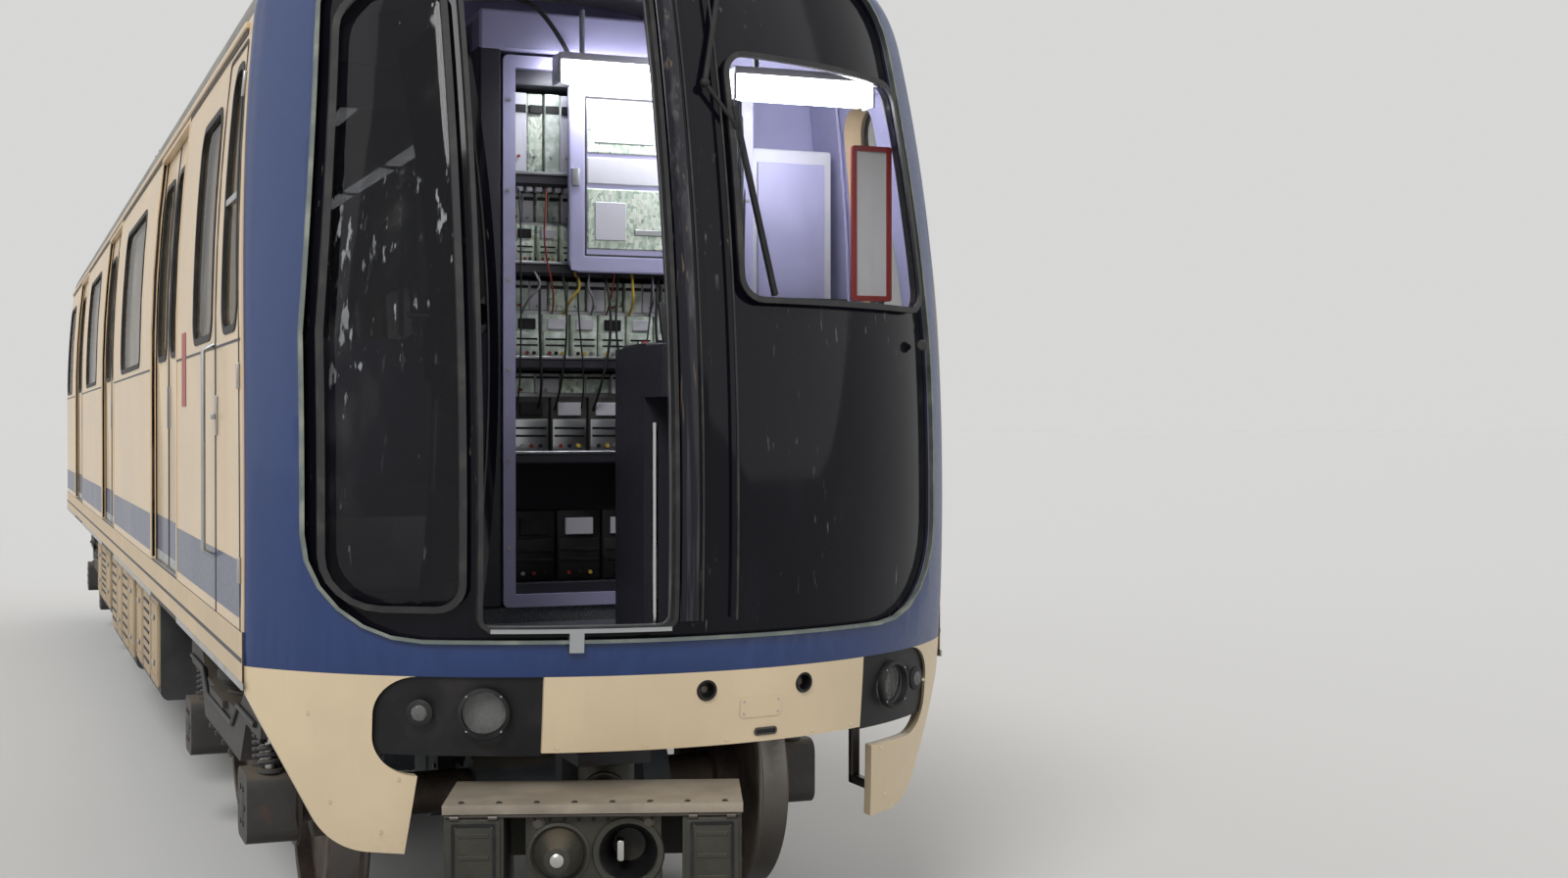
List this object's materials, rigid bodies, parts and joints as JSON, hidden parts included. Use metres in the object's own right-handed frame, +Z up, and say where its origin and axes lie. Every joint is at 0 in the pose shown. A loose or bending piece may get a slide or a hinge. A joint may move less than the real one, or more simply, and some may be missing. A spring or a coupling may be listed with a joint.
{
  "type": "metro car",
  "caption": "Narrow electric metro car with a rounded cab front, evacuation door, sliding saloon doors, motor bogies, swinging couplers and a folding pantograph.",
  "frame": {"origin": "middle of the car on the plane of the wheel flange tips, 28 mm below the rail top", "axes": "X across the car, Y along it with the cab front at -Y, Z up"},
  "size_m": [2.3, 15.0042, 3.8592],
  "materials": {
    "blue_paint": "satin blue paint",
    "white_paint": "satin white paint",
    "black_gloss": "gloss black enamel",
    "cream_paint": "satin cream paint with a blue band",
    "pane": "tinted safety glass",
    "lamp_black": "matt black moulding",
    "lens": "clear lamp lens over a reflector",
    "roof_grey": "matt grey roof paint",
    "underframe_dark": "dark grey chassis paint, dusty",
    "floor_grey": "ribbed grey rubber covering",
    "interior_light": "pale laminate panels",
    "cabinet_grey": "grey equipment racks",
    "seat_fabric": "dark blue seat cloth",
    "rail_steel": "brushed stainless tube",
    "wheel_steel": "forged steel with bright treads",
    "spring_rubber": "black spring rubber",
    "motor_dark": "dark cast housing",
    "coupler_grey": "olive grey cast coupler with a light cover",
    "panto_frame": "dark red pantograph frame",
    "wiper_black": "black wiper",
    "step_steel": "ribbed aluminium step"
  },
  "bodies": {
    "body": {"underframe": "underframe_dark", "floor_panel": "floor_grey", "side_wall_left": "cream_paint", "side_wall_right": "cream_paint", "side_windows": "pane", "roof": "roof_grey", "end_wall": "cream_paint", "nose_surround": "blue_paint", "nose_skirt": "white_paint", "nose_mask": "black_gloss", "windscreens": "pane", "lamp_housings": "lamp_black", "headlamps": "lens", "front_step": "step_steel", "wiper": "wiper_black", "ceiling_panel": "interior_light", "cab_partition": "interior_light", "equipment_cabinet": "cabinet_grey", "control_desk": "cabinet_grey", "driver_seat": "seat_fabric", "benches": "seat_fabric", "grab_poles": "rail_steel", "equipment_boxes": "underframe_dark", "roof_vents": "roof_grey", "pantograph_base": "panto_frame"},
    "front_door": {"front_door": "black_gloss"},
    "cab_door": {"cab_door": "interior_light"},
    "end_door": {"end_door": "cream_paint"},
    "coupler_front": {"coupler_front": "coupler_grey"},
    "coupler_rear": {"coupler_rear": "coupler_grey"},
    "pantograph_lower_arm": {"pantograph_lower_arm": "panto_frame"},
    "pantograph_upper_arm": {"pantograph_upper_arm": "panto_frame"},
    "pantograph_head": {"pantograph_head": "panto_frame"},
    "bogie_1": {"bogie_frame_1": "underframe_dark", "bogie_springs_1": "spring_rubber", "motors_1": "motor_dark"},
    "bogie_2": {"bogie_frame_2": "underframe_dark", "bogie_springs_2": "spring_rubber", "motors_2": "motor_dark"},
    "wheelset_1": {"wheelset_1": "wheel_steel"},
    "wheelset_2": {"wheelset_2": "wheel_steel"},
    "wheelset_3": {"wheelset_3": "wheel_steel"},
    "wheelset_4": {"wheelset_4": "wheel_steel"},
    "door_left_1_front": {"door_left_1_front": "cream_paint"},
    "door_left_1_rear": {"door_left_1_rear": "cream_paint"},
    "door_left_2_front": {"door_left_2_front": "cream_paint"},
    "door_left_2_rear": {"door_left_2_rear": "cream_paint"},
    "door_left_3_front": {"door_left_3_front": "cream_paint"},
    "door_left_3_rear": {"door_left_3_rear": "cream_paint"},
    "door_right_1_front": {"door_right_1_front": "cream_paint"},
    "door_right_1_rear": {"door_right_1_rear": "cream_paint"},
    "door_right_2_front": {"door_right_2_front": "cream_paint"},
    "door_right_2_rear": {"door_right_2_rear": "cream_paint"},
    "door_right_3_front": {"door_right_3_front": "cream_paint"},
    "door_right_3_rear": {"door_right_3_rear": "cream_paint"}
  },
  "joints": [
    {"name": "bogie_1_swivel", "type": "hinge", "parent": "body", "child": "bogie_1", "pos_m": [0, -4.6, 0.7], "axis": [0, 0, 1], "range_deg": [-4, 4]},
    {"name": "bogie_2_swivel", "type": "hinge", "parent": "body", "child": "bogie_2", "pos_m": [0, 4.6, 0.7], "axis": [0, 0, 1], "range_deg": [-4, 4]},
    {"name": "wheelset_1_axle", "type": "hinge", "parent": "bogie_1", "child": "wheelset_1", "pos_m": [0, -5.575, 0.458], "axis": [1, 0, 0], "continuous": true},
    {"name": "wheelset_2_axle", "type": "hinge", "parent": "bogie_1", "child": "wheelset_2", "pos_m": [0, -3.625, 0.458], "axis": [1, 0, 0], "continuous": true},
    {"name": "wheelset_3_axle", "type": "hinge", "parent": "bogie_2", "child": "wheelset_3", "pos_m": [0, 3.625, 0.458], "axis": [1, 0, 0], "continuous": true},
    {"name": "wheelset_4_axle", "type": "hinge", "parent": "bogie_2", "child": "wheelset_4", "pos_m": [0, 5.575, 0.458], "axis": [1, 0, 0], "continuous": true},
    {"name": "door_left_1_front_slide", "type": "slide", "parent": "body", "child": "door_left_1_front", "axis": [0, -1, 0], "range_m": [0, 0.64]},
    {"name": "door_left_1_rear_slide", "type": "slide", "parent": "body", "child": "door_left_1_rear", "axis": [0, 1, 0], "range_m": [0, 0.64]},
    {"name": "door_left_2_front_slide", "type": "slide", "parent": "body", "child": "door_left_2_front", "axis": [0, -1, 0], "range_m": [0, 0.64]},
    {"name": "door_left_2_rear_slide", "type": "slide", "parent": "body", "child": "door_left_2_rear", "axis": [0, 1, 0], "range_m": [0, 0.64]},
    {"name": "door_left_3_front_slide", "type": "slide", "parent": "body", "child": "door_left_3_front", "axis": [0, -1, 0], "range_m": [0, 0.64]},
    {"name": "door_left_3_rear_slide", "type": "slide", "parent": "body", "child": "door_left_3_rear", "axis": [0, 1, 0], "range_m": [0, 0.64]},
    {"name": "door_right_1_front_slide", "type": "slide", "parent": "body", "child": "door_right_1_front", "axis": [0, -1, 0], "range_m": [0, 0.64]},
    {"name": "door_right_1_rear_slide", "type": "slide", "parent": "body", "child": "door_right_1_rear", "axis": [0, 1, 0], "range_m": [0, 0.64]},
    {"name": "door_right_2_front_slide", "type": "slide", "parent": "body", "child": "door_right_2_front", "axis": [0, -1, 0], "range_m": [0, 0.64]},
    {"name": "door_right_2_rear_slide", "type": "slide", "parent": "body", "child": "door_right_2_rear", "axis": [0, 1, 0], "range_m": [0, 0.64]},
    {"name": "door_right_3_front_slide", "type": "slide", "parent": "body", "child": "door_right_3_front", "axis": [0, -1, 0], "range_m": [0, 0.64]},
    {"name": "door_right_3_rear_slide", "type": "slide", "parent": "body", "child": "door_right_3_rear", "axis": [0, 1, 0], "range_m": [0, 0.64]},
    {"name": "front_door_hinge", "type": "hinge", "parent": "body", "child": "front_door", "pos_m": [-0.588, -6.98251, 1.2], "axis": [0, 0.1385, 0.9904], "range_deg": [-110, 0]},
    {"name": "cab_door_hinge", "type": "hinge", "parent": "body", "child": "cab_door", "pos_m": [-0.936, -5.73, 2], "axis": [0, 0, 1], "range_deg": [0, 90]},
    {"name": "end_door_hinge", "type": "hinge", "parent": "body", "child": "end_door", "pos_m": [-0.326, 7.133, 2], "axis": [0, 0, 1], "range_deg": [-90, 0]},
    {"name": "coupler_front_swing", "type": "hinge", "parent": "body", "child": "coupler_front", "pos_m": [0, -6.433, 0.598], "axis": [0, 0, 1], "range_deg": [-2, 40]},
    {"name": "coupler_rear_swing", "type": "hinge", "parent": "body", "child": "coupler_rear", "pos_m": [0, 6.433, 0.598], "axis": [0, 0, 1], "range_deg": [-18, 18]},
    {"name": "pantograph_lift", "type": "hinge", "parent": "body", "child": "pantograph_lower_arm", "pos_m": [0, 2.6, 3.568], "axis": [1, 0, 0], "range_deg": [0, 50]},
    {"name": "pantograph_knee", "type": "hinge", "parent": "pantograph_lower_arm", "child": "pantograph_upper_arm", "pos_m": [0, 3.84315, 3.69866], "axis": [1, 0, 0], "range_deg": [-100, 0]},
    {"name": "pantograph_head_level", "type": "hinge", "parent": "pantograph_upper_arm", "child": "pantograph_head", "pos_m": [0, 2.54632, 3.78934], "axis": [1, 0, 0], "range_deg": [0, 50]}
  ],
  "couplings": [
    {"joint": "door_left_1_rear_slide", "follows": "door_left_1_front_slide", "ratio": 1},
    {"joint": "door_left_2_rear_slide", "follows": "door_left_2_front_slide", "ratio": 1},
    {"joint": "door_left_3_rear_slide", "follows": "door_left_3_front_slide", "ratio": 1},
    {"joint": "door_right_1_rear_slide", "follows": "door_right_1_front_slide", "ratio": 1},
    {"joint": "door_right_2_rear_slide", "follows": "door_right_2_front_slide", "ratio": 1},
    {"joint": "door_right_3_rear_slide", "follows": "door_right_3_front_slide", "ratio": 1},
    {"joint": "pantograph_knee", "follows": "pantograph_lift", "ratio": -2},
    {"joint": "pantograph_head_level", "follows": "pantograph_lift", "ratio": 1}
  ]
}
